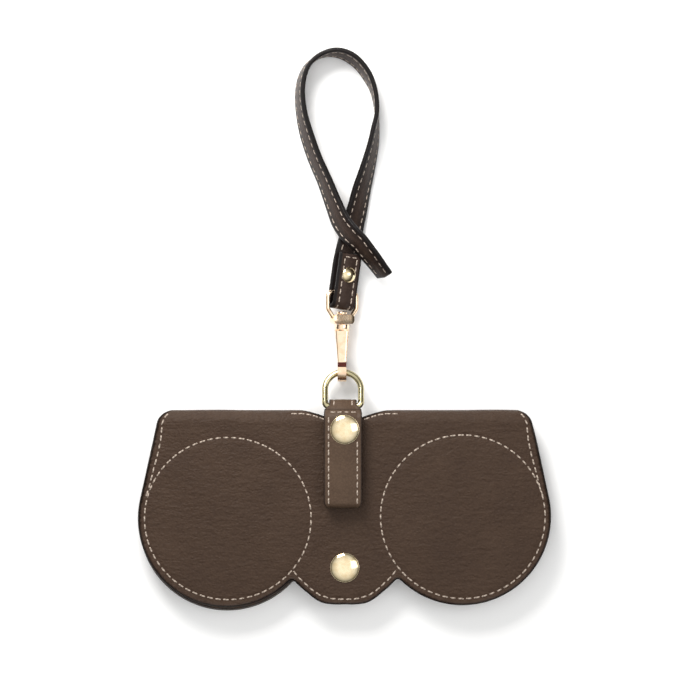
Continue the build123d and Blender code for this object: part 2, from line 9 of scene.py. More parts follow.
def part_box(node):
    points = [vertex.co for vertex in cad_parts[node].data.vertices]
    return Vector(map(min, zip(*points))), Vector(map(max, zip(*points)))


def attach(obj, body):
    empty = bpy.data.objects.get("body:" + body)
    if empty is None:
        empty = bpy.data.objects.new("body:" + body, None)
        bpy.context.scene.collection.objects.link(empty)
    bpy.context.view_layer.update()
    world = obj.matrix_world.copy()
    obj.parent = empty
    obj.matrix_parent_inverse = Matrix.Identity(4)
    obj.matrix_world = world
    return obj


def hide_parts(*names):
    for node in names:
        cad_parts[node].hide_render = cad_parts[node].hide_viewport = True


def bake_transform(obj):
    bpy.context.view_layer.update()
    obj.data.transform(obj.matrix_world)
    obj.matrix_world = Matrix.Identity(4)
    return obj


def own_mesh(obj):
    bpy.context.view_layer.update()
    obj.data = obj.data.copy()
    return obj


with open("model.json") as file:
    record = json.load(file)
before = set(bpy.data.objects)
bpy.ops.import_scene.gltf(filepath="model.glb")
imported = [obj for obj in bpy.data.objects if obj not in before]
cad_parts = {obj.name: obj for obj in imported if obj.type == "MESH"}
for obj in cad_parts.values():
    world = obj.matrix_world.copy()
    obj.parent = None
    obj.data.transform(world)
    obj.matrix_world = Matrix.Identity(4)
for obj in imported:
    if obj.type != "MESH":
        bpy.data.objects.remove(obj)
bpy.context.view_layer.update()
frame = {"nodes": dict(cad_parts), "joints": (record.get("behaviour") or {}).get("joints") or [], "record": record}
rng = np.random.default_rng(11)

# The looks of a soft folded glasses case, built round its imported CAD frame.
# Lengths in this file are millimetres until a mesh is made; the frame is in metres.
MM = 0.001


def lo(node):
    return [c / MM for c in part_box(node)[0]]


def hi(node):
    return [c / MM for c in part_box(node)[1]]


def mid(node):
    return [(a + b) / 2 for a, b in zip(lo(node), hi(node))]


joint_at = {j["name"]: [c / MM for c in j.get("pos_m", [0, 0, 0])] for j in frame["joints"]}
joint_axis = {j["name"]: Vector(j["axis"]) for j in frame["joints"]}

# ---- materials


def put(node, **values):
    """Sets a node's inputs. An underscore in a name stands for a space."""
    for name, value in values.items():
        node.inputs[name.replace("_", " ")].default_value = value
    return node


def new_material(name):
    mat = bpy.data.materials.new(name)
    mat.use_nodes = True
    nodes = mat.node_tree.nodes
    nodes.clear()
    out = nodes.new("ShaderNodeOutputMaterial")
    shader = nodes.new("ShaderNodeBsdfPrincipled")
    mat.node_tree.links.new(shader.outputs[0], out.inputs[0])
    return mat, nodes, mat.node_tree.links, shader


def linear(red, green, blue):
    """A colour as seen on a screen, 0 to 255, as Blender wants it."""
    parts = [c / 255 for c in (red, green, blue)]
    return [c / 12.92 if c <= 0.04045 else ((c + 0.055) / 1.055) ** 2.4 for c in parts] + [1.0]


def ramp(nodes, links, source, stops):
    node = nodes.new("ShaderNodeValToRGB")
    while len(node.color_ramp.elements) < len(stops):
        node.color_ramp.elements.new(0.5)
    for element, (place, colour) in zip(node.color_ramp.elements, stops):
        element.position = place
        element.color = colour
    links.new(source, node.inputs[0])
    return node.outputs[0]


def noise(nodes, links, where, scale, detail=3.0, rough=0.5, stretch=None):
    if stretch:
        mapping = put(nodes.new("ShaderNodeMapping"), Scale=stretch)
        links.new(where, mapping.inputs[0])
        where = mapping.outputs[0]
    node = put(nodes.new("ShaderNodeTexNoise"), Scale=scale, Detail=detail, Roughness=rough)
    links.new(where, node.inputs["Vector"])
    return node.outputs["Fac"]


def cells(nodes, links, where, scale):
    node = nodes.new("ShaderNodeTexVoronoi")
    node.feature = "SMOOTH_F1"
    put(node, Scale=scale, Smoothness=0.6)
    links.new(where, node.inputs["Vector"])
    return node.outputs["Distance"]


def blend_colour(nodes, links, share, first, second):
    node = nodes.new("ShaderNodeMix")
    node.data_type = "RGBA"
    for socket, value in zip([s for s in node.inputs if s.type == "RGBA"], (first, second)):
        if isinstance(value, list):
            socket.default_value = value
        else:
            links.new(value, socket)
    links.new(share, node.inputs[0])
    return [s for s in node.outputs if s.type == "RGBA"][0]


def maths(nodes, links, how, first, second):
    node = nodes.new("ShaderNodeMath")
    node.operation = how
    for socket, value in zip(node.inputs, (first, second)):
        if isinstance(value, (int, float)):
            socket.default_value = value
        else:
            links.new(value, socket)
    return node.outputs[0]


def attribute(nodes, name):
    """A value that the mesh carries at each of its points."""
    node = nodes.new("ShaderNodeAttribute")
    node.attribute_name = name
    return node


def emboss(nodes, links, shader, height, depth):
    """Relief that follows a texture. depth is in millimetres."""
    bump = put(nodes.new("ShaderNodeBump"), Distance=depth * MM)
    links.new(height, bump.inputs["Height"])
    links.new(bump.outputs[0], shader.inputs["Normal"])


def roughen(nodes, links, shader, value, low, high):
    """Roughness that follows a texture from low to high."""
    spread = put(nodes.new("ShaderNodeMapRange"), To_Min=low, To_Max=high)
    links.new(value, spread.inputs["Value"])
    links.new(spread.outputs[0], shader.inputs["Roughness"])


def leather(name, base, dark, light, edge, grain, wrinkle, rough):
    """Grained leather with painted edges. It reads the flat pattern's own coordinates, in millimetres."""
    mat, nodes, links, shader = new_material(name)
    where = attribute(nodes, "flat").outputs["Vector"]
    rim = attribute(nodes, "rim")
    tone = noise(nodes, links, where, 0.06, 3.0, 0.55)
    pebble = cells(nodes, links, where, 1.15)
    fine = noise(nodes, links, where, 2.6, 3.0, 0.6)
    folds = noise(nodes, links, where, 0.55, 4.0, 0.6, (0.4, 1.0, 1.0))
    wide = ramp(nodes, links, tone, [(0.15, dark), (0.5, base), (0.85, light)])
    pores = ramp(nodes, links, pebble, [(0.12, light), (0.45, base), (0.75, dark)])
    skin = blend_colour(nodes, links, maths(nodes, links, "MULTIPLY", fine, 0.7), wide, pores)
    links.new(blend_colour(nodes, links, rim.outputs["Fac"], skin, edge), shader.inputs["Base Color"])
    relief = maths(nodes, links, "MULTIPLY", pebble, -grain)
    relief = maths(nodes, links, "ADD", relief, maths(nodes, links, "MULTIPLY", fine, grain * 0.5))
    relief = maths(nodes, links, "ADD", relief, maths(nodes, links, "MULTIPLY", folds, wrinkle))
    emboss(nodes, links, shader, relief, 1.0)
    roughen(nodes, links, shader, fine, rough - 0.08, rough + 0.12)
    put(shader, Specular_IOR_Level=0.17)
    return mat


def fabric(name, base, dark):
    """Napped cloth or felt, a little uneven in tone."""
    mat, nodes, links, shader = new_material(name)
    where = attribute(nodes, "flat").outputs["Vector"]
    nap = noise(nodes, links, where, 3.5, 4.0, 0.7)
    patch = noise(nodes, links, where, 0.09, 2.0, 0.5)
    both = maths(nodes, links, "MULTIPLY", nap, patch)
    links.new(ramp(nodes, links, both, [(0.12, dark), (0.38, base)]), shader.inputs["Base Color"])
    emboss(nodes, links, shader, nap, 0.08)
    put(shader, Roughness=0.92, Sheen_Weight=0.35)
    return mat


def thread(name, base, dark):
    """Two-ply thread: slanted lines of painted shade in the grooves between its strands."""
    mat, nodes, links, shader = new_material(name)
    where = attribute(nodes, "flat").outputs["Vector"]
    wave = nodes.new("ShaderNodeTexWave")
    wave.bands_direction = "DIAGONAL"
    put(wave, Scale=0.42, Distortion=0.6)
    links.new(where, wave.inputs["Vector"])
    # Painted shade: the low grooves of the wave get the dark colour
    colour = ramp(nodes, links, wave.outputs["Fac"], [(0.05, dark), (0.5, base)])
    links.new(colour, shader.inputs["Base Color"])
    emboss(nodes, links, shader, wave.outputs["Fac"], 0.12)
    put(shader, Roughness=0.7, Sheen_Weight=0.2)
    return mat


def metal(name, base, worn, rough, painted_shade=None):
    """Polished plating with faint handling marks.

    The last argument is (low y, high y, top z) of a hollow whose colour is darkened as painted shade, in
    millimetres.
    """
    mat, nodes, links, shader = new_material(name)
    place = nodes.new("ShaderNodeTexCoord")
    mapping = put(nodes.new("ShaderNodeMapping"), Scale=(1 / MM, 1 / MM, 1 / MM))
    links.new(place.outputs["Object"], mapping.inputs[0])
    where = mapping.outputs[0]
    haze = noise(nodes, links, where, 0.4, 2.0, 0.5)
    lines = noise(nodes, links, where, 1.6, 2.0, 0.5, (1.0, 6.0, 1.0))
    colour = ramp(nodes, links, haze, [(0.25, worn), (0.6, base)])
    # Painted shade: inside this box the colour is blended to a dark maroon that stands for shadow in the recess
    if painted_shade:
        split = nodes.new("ShaderNodeSeparateXYZ")
        links.new(where, split.inputs[0])
        y, z = split.outputs["Y"], split.outputs["Z"]
        within = maths(nodes, links, "GREATER_THAN", y, painted_shade[0])
        within = maths(nodes, links, "MULTIPLY", within, maths(nodes, links, "LESS_THAN", y, painted_shade[1]))
        within = maths(nodes, links, "MULTIPLY", within, maths(nodes, links, "LESS_THAN", z, painted_shade[2]))
        colour = blend_colour(nodes, links, within, colour, painted_shade_colour)
    links.new(colour, shader.inputs["Base Color"])
    roughen(nodes, links, shader, haze, rough, rough + 0.06)
    emboss(nodes, links, shader, lines, 0.0025)
    put(shader, Metallic=1.0)
    return mat


edge_paint = linear(28, 20, 18)
wrist_paint = linear(20, 16, 16)
# Dark maroon painted as shade in the clip's mouth
painted_shade_colour = linear(92, 50, 44)
case_leather = leather(
    "case_leather", linear(63, 47, 36), linear(55, 40, 31), linear(72, 55, 43), edge_paint,
    grain=0.2, wrinkle=0.6, rough=0.5,
)
strap_leather = leather(
    "strap_leather", linear(77, 60, 47), linear(66, 51, 40), linear(88, 70, 56), edge_paint,
    grain=0.12, wrinkle=0.15, rough=0.46,
)
wrist_leather = leather(
    "wrist_leather", linear(56, 43, 37), linear(46, 35, 30), linear(67, 53, 45), wrist_paint,
    grain=0.08, wrinkle=0.10, rough=0.40,
)
lining_cloth = fabric("lining_cloth", linear(98, 80, 66), linear(74, 59, 48))
pad_felt = fabric("pad_felt", linear(120, 114, 104), linear(92, 86, 78))
beige_thread = thread("beige_thread", linear(186, 170, 156), linear(128, 113, 100))
pale_gold = metal("pale_gold", linear(246, 229, 192), linear(232, 208, 164), 0.09)
ring_gold = metal("ring_gold", linear(200, 190, 152), linear(162, 151, 114), 0.12)
# The mouth between the claw and the gate, where the clip's colour is darkened as painted shade
mouth = (lo("hook_gate")[1] - 2.4, lo("hook_gate")[1] + 0.6, hi("hook_body")[2] - 1.6)
rose_gold = metal("rose_gold", linear(252, 226, 196), linear(244, 208, 172), 0.12, painted_shade=mouth)
steel = metal("steel", linear(190, 188, 184), linear(160, 157, 152), 0.22)

# ---- meshes


def show(name, data):
    """Puts a new object into the scene."""
    obj = bpy.data.objects.new(name, data)
    bpy.context.scene.collection.objects.link(obj)
    return obj


def make(name, points, faces, material, body=None, flat=None, rim=None, smooth=True):
    """A mesh from points in millimetres."""
    mesh = bpy.data.meshes.new(name)
    mesh.from_pydata((np.asarray(points, float) * MM).tolist(), [], [list(f) for f in faces])
    mesh.validate()
    if flat is not None:
        layer = mesh.attributes.new("flat", "FLOAT_VECTOR", "POINT")
        layer.data.foreach_set("vector", np.asarray(flat, np.float32).ravel())
    if rim is not None:
        layer = mesh.attributes.new("rim", "FLOAT", "POINT")
        layer.data.foreach_set("value", np.asarray(rim, np.float32))
    if smooth:
        mesh.polygons.foreach_set("use_smooth", [True] * len(mesh.polygons))
    mesh.materials.append(material)
    obj = show(name, mesh)
    if body:
        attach(obj, body)
    return obj


def distances(points):
    """How far along a line of points each one lies."""
    return np.r_[0, np.cumsum(np.linalg.norm(np.diff(points, axis=0), axis=1))]


def resample(points, step, closed=True):
    """Evenly spaced points along a polyline."""
    points = np.asarray(points, float)
    if closed:
        points = np.vstack([points, points[:1]])
    lengths = distances(points)
    count = max(3, int(round(lengths[-1] / step)))
    at = np.linspace(0, lengths[-1], count + 1)
    if closed:
        at = at[:-1]
    return np.column_stack([np.interp(at, lengths, points[:, k]) for k in range(points.shape[1])])


def inside(points, loop):
    """Which points lie inside a closed loop."""
    x, y = points[:, 0], points[:, 1]
    hit = np.zeros(len(points), bool)
    following = np.roll(loop, -1, axis=0)
    for (ax, ay), (bx, by) in zip(loop, following):
        if ay == by:
            continue
        crosses = (ay > y) != (by > y)
        hit ^= crosses & (x < (bx - ax) * (y - ay) / (by - ay) + ax)
    return hit


def nearest(points, loop):
    """Distance from each point to the nearest of the loop's points."""
    best = np.full(len(points), 1e9)
    for start in range(0, len(loop), 200):
        part = loop[start:start + 200]
        gap = np.linalg.norm(points[:, None, :] - part[None, :, :], axis=2).min(axis=1)
        best = np.minimum(best, gap)
    return best


def signed_area(loop):
    """A closed loop's area, positive where it runs anticlockwise."""
    return 0.5 * np.sum(loop[:, 0] * np.roll(loop[:, 1], -1) - np.roll(loop[:, 0], -1) * loop[:, 1])


def tube(around, rows):
    """Faces of a tube of rows of points, with both its ends closed."""
    faces = []
    for row in range(rows - 1):
        one, two = row * around, (row + 1) * around
        for k in range(around):
            after = (k + 1) % around
            faces.append((one + k, two + k, two + after, one + after))
    faces.append(tuple(range(around)))
    faces.append(tuple(range((rows - 1) * around, rows * around))[::-1])
    return faces


def inward(loop):
    """Unit normals that point to a closed loop's inside."""
    along = np.roll(loop, -1, axis=0) - np.roll(loop, 1, axis=0)
    along /= np.linalg.norm(along, axis=1)[:, None]
    normal = np.column_stack([-along[:, 1], along[:, 0]])
    return normal if signed_area(loop) > 0 else -normal


# ---- the folded sheet's pattern

fold_out = hi("fold_leather")[1]  # the fold's outermost line
fold_r = hi("front_leather")[2] / 2
top_y = fold_out - fold_r  # where the flat covers end
half_turn = math.pi * fold_r / 2  # from the fold's middle line to either cover, round its outside
leather_t = hi("back_leather")[2]
lining_t = hi("back_lining")[2] - leather_t
lobe_x, lobe_y, _ = mid("right_lens_pad")
lobe_r = hi("front_leather")[0] - lobe_x
tongue_y = -11.2
tongue_r = 27.2
# How far the tongue's edge leaves its arc, at degrees off its middle
tongue_degrees = [0, 8, 19, 26, 34, 50]
tongue_offset = [-0.2, 0.15, 0.75, 0.3, -0.4, -0.5]
droop = lo("front_leather")[1] - lo("back_leather")[1]
fold_half = hi("fold_leather")[0] - 0.7
cut_half = 17.8  # half the width of the arc-shaped cut in the fold
cut_depth = 4.0
corner_r = 5.0  # the case's corners at the fold
edge_step = 0.7  # spacing of the points along the sheet's edges
# The stitched circle of each lobe: middle x and y, half its width, half its height
circles = {-1: (-46.5, -4.0, 33.2, 32.3), 1: (47.2, -3.3, 32.8, 32.6)}
right_rise = 0.8  # how much higher the right lobe's hem was cut
# The stitched row up each side, x and y, from the lobe to the fold
side_row = np.array([[79.3, 4.5], [78.0, 8.0], [76.4, 14.5], [74.5, 21.5], [73.3, 27.0], [72.6, top_y]])
fold_inset = 2.4  # how far that row runs inside the case's ends round the fold
# The stitched row round the tongue: its radius at degrees off its middle
tongue_row_degrees = [0, 12, 24, 40, 56]
tongue_row_r = [24.9, 25.2, 25.2, 24.4, 24.5]
cut_inset = 1.3  # how far the rows beside the cut lie from it
snap_x, upper_snap_y, _ = mid("upper_snap_cap")
lower_snap_y = mid("lower_snap_cap")[1]


def side_x(y):
    """Half the case's width near the fold, with its rounded corner."""
    x = fold_half + (fold_out - y) * 0.134
    over = np.clip(y - (fold_out - corner_r), 0, corner_r)
    return x - (corner_r - np.sqrt(corner_r**2 - over**2))


def half_cover(drop, belly=0.0):
    """Half of a cover's edge, from the fold down to the tongue's lowest point.

    drop lowers the lobe, and belly moves the side above it outwards.
    """
    centre = np.array([lobe_x, lobe_y - drop])
    tongue = np.array([0.0, tongue_y])
    apart = centre - tongue
    gap = np.linalg.norm(apart)
    unit = apart / gap
    along = (tongue_r**2 - lobe_r**2 + gap**2) / (2 * gap)
    off = math.sqrt(tongue_r**2 - along**2)
    cusp = tongue + unit * along + np.array([unit[1], -unit[0]]) * off
    lean = math.radians(13.7)
    end = math.atan2(cusp[1] - centre[1], cusp[0] - centre[0])
    lobe = [centre + lobe_r * np.array([math.cos(a), math.sin(a)]) for a in np.linspace(lean, end, 90)]
    first = math.atan2(cusp[1] - tongue[1], cusp[0] - tongue[0])
    arc = []
    for a in np.linspace(first, -math.pi / 2, 40):
        off_middle = math.degrees(a) + 90
        r = tongue_r + np.interp(off_middle, tongue_degrees, tongue_offset)
        arc.append(tongue + r * np.array([math.cos(a), math.sin(a)]))
    return np.array([[side_x(top_y), top_y], [fold_half + 1.5 + belly, 28.0]] + lobe + arc[1:])


def cover_edge(left_drop):
    """A cover's whole edge, from its right end at the fold to its left end."""
    right = half_cover(-right_rise, 0.8)
    left = half_cover(left_drop, 0.5)[::-1] * [-1, 1]
    return np.vstack([right, left[1:]])


def to_v(y):
    """The flat pattern's v for a y on the front cover."""
    return half_turn + top_y - y


def pattern_edge():
    """The sheet's edge laid flat: x across, v from the back cover's hem to the front cover's hem."""
    front = cover_edge(0.0)
    front = np.column_stack([front[:, 0], to_v(front[:, 1])])
    back = cover_edge(droop)[::-1]
    back = np.column_stack([back[:, 0], -to_v(back[:, 1])])
    turn = np.linspace(-half_turn, half_turn, 40)[1:-1]
    reach = side_x(top_y + fold_r * np.cos(turn / fold_r))
    right = np.column_stack([reach, turn])
    left = np.column_stack([-reach, turn])[::-1]
    loop = resample(np.vstack([right, front, left, back]), edge_step)
    for _ in range(3):
        loop = (np.roll(loop, 1, axis=0) + 2 * loop + np.roll(loop, -1, axis=0)) / 4
    return loop


def cut_line(x):
    """How high the arc-shaped cut in the fold reaches, seen from the front."""
    return fold_out - cut_depth * 0.5 * (1 + np.cos(math.pi * x / cut_half))


def cut_edge():
    """The cut in the fold, laid flat."""
    x = np.linspace(-cut_half, cut_half, 80)
    y = cut_line(x)
    angle = np.arccos(np.clip((y - top_y) / fold_r, -1, 1))
    front = np.column_stack([x, angle * fold_r])
    back = np.column_stack([x, -angle * fold_r])[::-1]
    return resample(np.vstack([front, back[1:-1]]), edge_step)


def bend(x, v, depth):
    """The flat pattern folded: depth is measured in from the leather's outside."""
    x, v, depth = np.broadcast_arrays(np.asarray(x, float), v, depth)
    angle = np.clip(v / fold_r, -math.pi / 2, math.pi / 2)
    run = np.abs(v) - half_turn
    radius = fold_r - depth
    y = np.where(run > 0, top_y - run, top_y + radius * np.cos(angle))
    z = np.where(run > 0, fold_r + np.sign(v) * radius, fold_r + radius * np.sin(angle))
    return np.column_stack([x.ravel(), y.ravel(), z.ravel()])


def row_lines():
    """Every stitched line on the pattern, as open or closed runs of points."""
    rows = []
    around = np.linspace(0, 2 * math.pi, 240, endpoint=False)
    for sign in (1, -1):  # the front cover, then the back
        for side in (-1, 1):
            drop = droop if sign < 0 and side < 0 else 0.0
            middle_x, middle_y, wide, tall = circles[side]
            x = middle_x + wide * np.cos(around)
            y = middle_y - drop + tall * np.sin(around)
            rows.append((np.column_stack([x, sign * to_v(y)]), True))
            line = np.column_stack([side * side_row[:, 0], sign * to_v(side_row[:, 1])])
            turn = np.linspace(half_turn, 3.4, 9)[1:]
            y = top_y + fold_r * np.cos(turn / fold_r)
            reach = side_x(y) - fold_inset
            line = np.vstack([line, np.column_stack([side * reach, sign * turn])])
            rows.append((line, False))
        spread = np.radians(np.linspace(-147, -32.5, 60))
        off_middle = np.abs(np.degrees(spread) + 90)
        r = np.interp(off_middle, tongue_row_degrees, tongue_row_r)
        y = tongue_y + r * np.sin(spread)
        rows.append((np.column_stack([r * np.cos(spread), sign * to_v(y)]), False))
    for side in (-1, 1):
        x = np.linspace(7.6, 21.5, 20)
        y = cut_line(np.minimum(x, cut_half)) - cut_inset
        angle = np.arccos(np.clip((y - top_y) / fold_r, -1, 1))
        rows.append((np.column_stack([side * x, angle * fold_r]), False))
    return rows


all_rows = row_lines()
row_points = np.vstack([resample(line, 0.4, closed) for line, closed in all_rows])


# How far the leather stands out over the pads and wavers, and how deep it is drawn in, in millimetres
pad_swell, waver, snap_dent, seam_dent = 0.55, 0.10, 0.25, 0.22


def swell(points):
    """How far the leather's outside stands out of its plane at points of the pattern."""
    x, v = points[:, 0], points[:, 1]
    y = np.where(v > 0, half_turn + top_y - v, half_turn + top_y + v)
    rise = np.zeros(len(points))
    front = v > half_turn
    for side in (-1, 1):
        middle_x, middle_y, wide, tall = circles[side]
        r = np.hypot((x - middle_x) / wide, (y - middle_y) / tall)
        rise += np.where(front, pad_swell * np.clip(1 - r**2, 0, 1) ** 0.6, 0)
    wander = np.sin(x * 0.11 + 1.3) * np.sin(y * 0.17 + 0.4) + 0.5 * np.sin(x * 0.23 + y * 0.31)
    rise += np.where(v > 0, waver * wander, 0)
    dent = np.hypot(x - snap_x, y - lower_snap_y)
    rise -= np.where(front, snap_dent * np.exp(-((dent / 8.0) ** 2)), 0)
    gap = nearest(points, row_points)
    rise -= seam_dent * np.exp(-((gap / 0.75) ** 2))
    return rise


def sheet_slab(name, outer, hole, step, near, far, raised, material, bulge=None, rings=None):
    """A thick sheet cut to the pattern and folded, with rounded rims.

    near and far are the depths of its two faces; raised says whether its near face swells.
    bulge, if given, adds to the far face's depth, and rings are points that follow its steps.
    """
    thick = far - near
    soft = min(0.6, thick * 0.42)
    ring_steps = [(soft, 0.0), (soft * 0.3, soft * 0.3), (0.0, soft), (0.0, thick - soft)]
    ring_steps += [(soft * 0.3, thick - soft * 0.3)]
    rims = [(outer, inward(outer)), (hole, -inward(hole))]
    v_low, v_high = outer[:, 1].min(), outer[:, 1].max()
    fine = list(np.arange(-half_turn - 1, half_turn + 1, 0.5))
    coarse = list(np.arange(v_low, -half_turn - 1, step)) + list(np.arange(half_turn + 1, v_high, step))
    grid = []
    for index, v in enumerate(sorted(fine + coarse)):
        shift = 0.5 * step if index % 2 else 0.0
        row = np.arange(outer[:, 0].min() + shift, outer[:, 0].max(), step)
        grid.append(np.column_stack([row, np.full(len(row), v)]))
    grid = np.vstack(grid)
    grid = grid[inside(grid, outer) & ~inside(grid, hole)]
    edge = np.vstack([outer, hole])
    if rings is not None:
        grid = np.vstack([grid[nearest(grid, rings) > 0.65 * step], rings[inside(rings, outer)]])
    grid = grid[nearest(grid, edge) > soft + 0.45 * step]
    loops = [loop + normal * ring_steps[0][0] for loop, normal in rims]
    flat = np.vstack([*loops, grid])
    edges, start = [], 0
    for loop in loops:
        edges += [(start + k, start + (k + 1) % len(loop)) for k in range(len(loop))]
        start += len(loop)
    made = geometry.delaunay_2d_cdt([Vector(p) for p in flat.tolist()], edges, [], 0, 1e-6)
    points = np.array([list(p) for p in made[0]])
    came_from = {s: index for index, source in enumerate(made[3]) for s in source}
    tris = np.array([f for f in made[2] if len(f) == 3])
    centre = points[tris].mean(axis=1)
    keep = inside(centre, loops[0]) & ~inside(centre, loops[1])
    tris = tris[keep]
    turned = points[tris]
    area = (turned[:, 1, 0] - turned[:, 0, 0]) * (turned[:, 2, 1] - turned[:, 0, 1])
    area -= (turned[:, 2, 0] - turned[:, 0, 0]) * (turned[:, 1, 1] - turned[:, 0, 1])
    tris[area < 0] = tris[area < 0][:, ::-1]
    count = len(points)
    rise = swell(points) if raised else np.zeros(count)
    extra = bulge(points) if bulge else np.zeros(count)
    where = [bend(points[:, 0], points[:, 1], near - rise)]
    spread = [np.column_stack([points, np.full(count, near)])]
    close = np.clip(1.25 - nearest(points, edge) / 1.1, 0, 1) if raised else np.zeros(count)
    rim = [close * 0.85]
    where.append(bend(points[:, 0], points[:, 1], far + extra))
    spread.append(np.column_stack([points, np.full(count, far)]))
    rim.append(close)
    faces = [tuple(t[::-1]) for t in tris] + [tuple(t + count) for t in tris]
    offset, total = 0, 2 * count
    for (loop, normal), inner in zip(rims, loops):
        length = len(loop)
        previous = [came_from[offset + k] for k in range(length)]
        last = [came_from[offset + k] + count for k in range(length)]
        offset += length
        chain = [previous]
        for gap, depth in ring_steps[1:]:
            at = loop + normal * gap
            where.append(bend(at[:, 0], at[:, 1], near + depth))
            spread.append(np.column_stack([at, np.full(length, near + depth)]))
            rim.append(np.full(length, 1.0))
            chain.append([total + k for k in range(length)])
            total += length
        chain.append(last)
        forward = (signed_area(loop) > 0) == (loop is outer)
        for one, two in zip(chain, chain[1:]):
            for k in range(length):
                after = (k + 1) % length
                quad = (one[k], two[k], two[after], one[after])
                faces.append(quad if forward else quad[::-1])
    return make(name, np.vstack(where), faces, material, None, np.vstack(spread), np.concatenate(rim))


edge_loop = pattern_edge()
cut_loop = cut_edge()
bend_to = (0, top_y * MM, lo("front_lining")[2] * MM)

shell = sheet_slab("case_leather", edge_loop, cut_loop, 0.9, 0.0, leather_t, True, case_leather)
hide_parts("back_leather", "front_leather", "fold_leather")
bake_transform(shell)

pad_r = hi("right_lens_pad")[0] - lobe_x
pad_t = hi("right_lens_pad")[2] - lo("right_lens_pad")[2]
pad_round = 6.0  # how far in from its edge a pad reaches its full thickness


def pad_height(r):
    """A pad's thickness at a distance from its middle: crowned, and rounded off at its edge."""
    u = np.clip((pad_r - r) / pad_round, 0, 1)
    return pad_t * u * u * (3 - 2 * u) * (1 - 0.15 * (r / pad_r) ** 2)


def cup(points):
    """The lining stands off the front cover where the pads lie under it."""
    x, v = points[:, 0], points[:, 1]
    y = half_turn + top_y - v
    rise = np.zeros(len(points))
    for side in (-1, 1):
        r = np.hypot(x - side * lobe_x, y - lobe_y)
        rise += np.where(v > half_turn, pad_height(np.maximum(r - 0.5, 0)), 0)
    return rise


def pad_rings():
    """Circles of points round each pad's rounded edge, on the pattern."""
    rings = []
    for side in (-1, 1):
        for r in np.arange(pad_r + 1.2, pad_r - pad_round - 0.8, -0.85):
            a = np.linspace(0, 2 * math.pi, int(2 * math.pi * r / 1.5), endpoint=False)
            v = half_turn + top_y - lobe_y + r * np.sin(a)
            rings.append(np.column_stack([side * lobe_x + r * np.cos(a), v]))
    return np.vstack(rings)


cloth_edge = edge_loop + inward(edge_loop) * 0.25
cloth_cut = cut_loop - inward(cut_loop) * 0.25
cloth = sheet_slab(
    "lining", cloth_edge, cloth_cut, 1.3, leather_t + 0.02, leather_t + lining_t, False, lining_cloth, cup,
    pad_rings(),
)
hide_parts("back_lining", "front_lining", "fold_lining")
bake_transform(cloth)


def lathe(name, profile, at, axis, material, body, segments=72):
    """A turned piece. profile is (radius, height) from its middle outwards and down."""
    turn = Vector((0, 0, 1)).rotation_difference(Vector(axis)).to_matrix()
    points = []
    for r, h in profile:
        for k in range(segments):
            a = 2 * math.pi * k / segments
            points.append(Vector(at) + turn @ Vector((r * math.cos(a), r * math.sin(a), h)))
    return make(name, [list(p) for p in points], tube(segments, len(profile)), material, body)


for side in ("left", "right"):
    node = f"{side}_lens_pad"
    x, y, z = mid(node)
    high = hi(node)[2]
    r = hi(node)[0] - x - 0.1
    profile = [(0.4, high), (r - 0.4, high), (r, high - 0.15)]
    for u in [*np.linspace(r - 0.2, r - pad_round, 12), r * 0.5]:
        profile.append((u, high - 0.2 - 0.96 * float(pad_height(u))))
    profile.append((0.4, high - 0.1 - 0.96 * pad_t))
    pad = lathe(f"{side}_pad", profile, (x, y, 0), (0, 0, 1), pad_felt, "front_cover")
    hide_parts(node)

# ---- stitches


def stitch_shape():
    """One stitch, 1 long: rings of (along, across, up) whose ends go down into the leather."""
    rings = []
    for u in np.linspace(-0.5, 0.5, 7):
        full = math.sqrt(max(0.0, 1 - (2 * u) ** 4)) * 0.5 + 0.02
        drop = -0.9 * (2 * abs(u)) ** 5
        turn = np.linspace(0, 2 * math.pi, 9)[:-1]
        rings.append([(u, full * math.cos(a), full * math.sin(a) + drop) for a in turn])
    return np.array(rings)


STITCH = stitch_shape()


def stitch_faces(count):
    """The faces of this many stitches."""
    rows, around = STITCH.shape[:2]
    one = []
    for row in range(rows - 1):
        low, high = row * around, (row + 1) * around
        for k in range(around):
            after = (k + 1) % around
            one.append((low + k, low + after, high + after, high + k))
    one.append(tuple(range(around))[::-1])
    one.append(tuple((rows - 1) * around + k for k in range(around)))
    size = rows * around
    return [tuple(i + n * size for i in face) for n in range(count) for face in one]


def row_places(line, closed, pitch=3.15):
    """Middles and directions of the stitches along a line of flat points."""
    dense = resample(line, 0.2, closed)
    if closed:
        dense = np.vstack([dense, dense[:1]])
    run = distances(dense)
    count = max(1, int(round(run[-1] / pitch)))

    def point(s):
        return np.array([np.interp(s, run, dense[:, 0]), np.interp(s, run, dense[:, 1])])

    places = []
    for k in range(count):
        s = run[-1] * (k + 0.5) / count
        way = point(s + 0.3) - point(s - 0.3)
        places.append((point(s), way / np.linalg.norm(way)))
    return places


def sew(name, places, surface, long=2.95, wide=0.58, high=0.45, sink=0.0, body=None):
    """Stitches on a surface. surface(points, height) turns flat points and heights into millimetres."""
    points, flat = [], []
    shape = STITCH.reshape(-1, 3)
    for at, way in places:
        length = long * (1 + rng.uniform(-0.06, 0.06))
        tilt = rng.uniform(-0.04, 0.04)
        way = np.array([way[0] - tilt * way[1], way[1] + tilt * way[0]])
        across = np.array([-way[1], way[0]])
        spot = at + shape[:, :1] * length * way + shape[:, 1:2] * wide * across
        points.append(surface(spot, shape[:, 2] * high - sink))
        grain = np.column_stack([shape[:, 0] * length, shape[:, 1] * wide, shape[:, 2]])
        flat.append(grain + [at[0] * 7, at[1] * 3, 0])
    return make(name, np.vstack(points), stitch_faces(len(places)), beige_thread, body, np.vstack(flat))


def on_case(points, height):
    return bend(points[:, 0], points[:, 1], -swell(points) - height)


